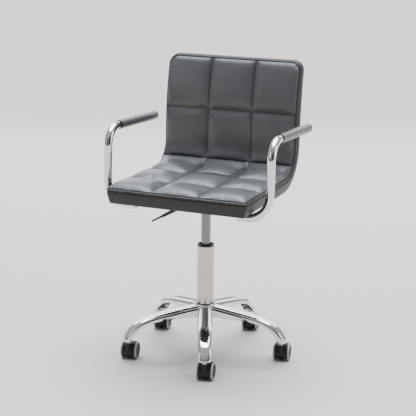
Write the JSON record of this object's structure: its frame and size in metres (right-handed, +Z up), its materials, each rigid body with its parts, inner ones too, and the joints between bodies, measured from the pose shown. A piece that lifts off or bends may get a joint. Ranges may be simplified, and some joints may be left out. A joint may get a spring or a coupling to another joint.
{
  "type": "swivel office chair",
  "caption": "Swivel office chair with a quilted leather-look one-piece seat and back, cantilever tube arms, gas-lift column and star base on twin-wheel castors.",
  "frame": {"origin": "on the floor, on the axis of the column, about which the seat turns", "axes": "+Z up along the column, the seat and back face -Y, +X to the right of someone who looks at the chair's front"},
  "size_m": [0.5228, 0.5178, 0.86],
  "materials": {
    "chromed_steel": "polished",
    "black_leather": "satin",
    "cover_leather": "satin",
    "padding": "satin",
    "satin_steel": "satin",
    "black_steel": "satin",
    "black_plastic": "satin",
    "grey_tread": "matte",
    "plywood": "matte"
  },
  "bodies": {
    "base": {"base_hub": "chromed_steel", "leg_1": "chromed_steel", "leg_2": "chromed_steel", "leg_3": "chromed_steel", "leg_4": "chromed_steel", "leg_5": "chromed_steel", "castor_sockets": "satin_steel", "column_tube": "chromed_steel", "guide_bush": "black_plastic"},
    "piston": {"piston_rod": "satin_steel", "thrust_bearing": "satin_steel", "retaining_clip": "satin_steel"},
    "seat": {"gas_cylinder": "satin_steel", "mounting_plate": "black_steel", "plate_bolts": "satin_steel", "lever_pivot": "satin_steel", "shell_board": "plywood", "t_nuts": "satin_steel", "seat_cushion": "padding", "back_cushion": "padding", "outer_cover": "cover_leather", "arm_tube_left": "chromed_steel", "arm_tube_right": "chromed_steel", "arm_sleeve_left": "black_leather", "arm_sleeve_right": "black_leather", "arm_rings": "black_plastic", "arm_caps": "black_plastic", "arm_bolts": "satin_steel"},
    "release_pin": {"release_pin": "black_plastic"},
    "lever": {"lever": "black_plastic"},
    "castor_1": {"castor_1_hood": "black_plastic", "castor_1_pins": "satin_steel"},
    "wheel_1_left": {"wheel_1_left": "black_plastic", "tyre_1_left": "grey_tread"},
    "wheel_1_right": {"wheel_1_right": "black_plastic", "tyre_1_right": "grey_tread"},
    "castor_2": {"castor_2_hood": "black_plastic", "castor_2_pins": "satin_steel"},
    "wheel_2_left": {"wheel_2_left": "black_plastic", "tyre_2_left": "grey_tread"},
    "wheel_2_right": {"wheel_2_right": "black_plastic", "tyre_2_right": "grey_tread"},
    "castor_3": {"castor_3_hood": "black_plastic", "castor_3_pins": "satin_steel"},
    "wheel_3_left": {"wheel_3_left": "black_plastic", "tyre_3_left": "grey_tread"},
    "wheel_3_right": {"wheel_3_right": "black_plastic", "tyre_3_right": "grey_tread"},
    "castor_4": {"castor_4_hood": "black_plastic", "castor_4_pins": "satin_steel"},
    "wheel_4_left": {"wheel_4_left": "black_plastic", "tyre_4_left": "grey_tread"},
    "wheel_4_right": {"wheel_4_right": "black_plastic", "tyre_4_right": "grey_tread"},
    "castor_5": {"castor_5_hood": "black_plastic", "castor_5_pins": "satin_steel"},
    "wheel_5_left": {"wheel_5_left": "black_plastic", "tyre_5_left": "grey_tread"},
    "wheel_5_right": {"wheel_5_right": "black_plastic", "tyre_5_right": "grey_tread"}
  },
  "joints": [
    {"name": "swivel", "type": "hinge", "parent": "base", "child": "piston", "pos_m": [0, 0, 0.112], "axis": [0, 0, 1], "continuous": true},
    {"name": "lift", "type": "slide", "parent": "piston", "child": "seat", "axis": [0, 0, 1], "range_m": [-0.085, 0.035]},
    {"name": "lever_pull", "type": "hinge", "parent": "seat", "child": "lever", "pos_m": [-0.034, 0, 0.4659], "axis": [0, 1, 0], "range_deg": [0, 5], "stiffness_Nm_per_rad": 3, "springref_deg": -3.44},
    {"name": "valve_press", "type": "slide", "parent": "seat", "child": "release_pin", "axis": [0, 0, -1], "range_m": [0, 0.0036]},
    {"name": "castor_1_swivel", "type": "hinge", "parent": "base", "child": "castor_1", "pos_m": [0.09092, -0.21778, 0.06], "axis": [0, 0, 1], "continuous": true},
    {"name": "wheel_1_left_roll", "type": "hinge", "parent": "castor_1", "child": "wheel_1_left", "pos_m": [0.08745, -0.19809, 0.025], "axis": [0.9848, 0.1736, 0], "continuous": true},
    {"name": "wheel_1_right_roll", "type": "hinge", "parent": "castor_1", "child": "wheel_1_right", "pos_m": [0.08745, -0.19809, 0.025], "axis": [0.9848, 0.1736, 0], "continuous": true},
    {"name": "castor_2_swivel", "type": "hinge", "parent": "base", "child": "castor_2", "pos_m": [0.23522, 0.01917, 0.06], "axis": [0, 0, 1], "continuous": true},
    {"name": "wheel_2_left_roll", "type": "hinge", "parent": "castor_2", "child": "wheel_2_left", "pos_m": [0.23175, 0.03887, 0.025], "axis": [0.9848, 0.1736, 0], "continuous": true},
    {"name": "wheel_2_right_roll", "type": "hinge", "parent": "castor_2", "child": "wheel_2_right", "pos_m": [0.23175, 0.03887, 0.025], "axis": [0.9848, 0.1736, 0], "continuous": true},
    {"name": "castor_3_swivel", "type": "hinge", "parent": "base", "child": "castor_3", "pos_m": [0.05445, 0.22963, 0.06], "axis": [0, 0, 1], "continuous": true},
    {"name": "wheel_3_left_roll", "type": "hinge", "parent": "castor_3", "child": "wheel_3_left", "pos_m": [0.05098, 0.24933, 0.025], "axis": [0.9848, 0.1736, 0], "continuous": true},
    {"name": "wheel_3_right_roll", "type": "hinge", "parent": "castor_3", "child": "wheel_3_right", "pos_m": [0.05098, 0.24933, 0.025], "axis": [0.9848, 0.1736, 0], "continuous": true},
    {"name": "castor_4_swivel", "type": "hinge", "parent": "base", "child": "castor_4", "pos_m": [-0.20157, 0.12275, 0.06], "axis": [0, 0, 1], "continuous": true},
    {"name": "wheel_4_left_roll", "type": "hinge", "parent": "castor_4", "child": "wheel_4_left", "pos_m": [-0.20504, 0.14244, 0.025], "axis": [0.9848, 0.1736, 0], "continuous": true},
    {"name": "wheel_4_right_roll", "type": "hinge", "parent": "castor_4", "child": "wheel_4_right", "pos_m": [-0.20504, 0.14244, 0.025], "axis": [0.9848, 0.1736, 0], "continuous": true},
    {"name": "castor_5_swivel", "type": "hinge", "parent": "base", "child": "castor_5", "pos_m": [-0.17903, -0.15377, 0.06], "axis": [0, 0, 1], "continuous": true},
    {"name": "wheel_5_left_roll", "type": "hinge", "parent": "castor_5", "child": "wheel_5_left", "pos_m": [-0.1825, -0.13407, 0.025], "axis": [0.9848, 0.1736, 0], "continuous": true},
    {"name": "wheel_5_right_roll", "type": "hinge", "parent": "castor_5", "child": "wheel_5_right", "pos_m": [-0.1825, -0.13407, 0.025], "axis": [0.9848, 0.1736, 0], "continuous": true}
  ],
  "couplings": [
    {"joint": "valve_press", "follows": "lever_pull", "m_per_rad": 0.036}
  ]
}
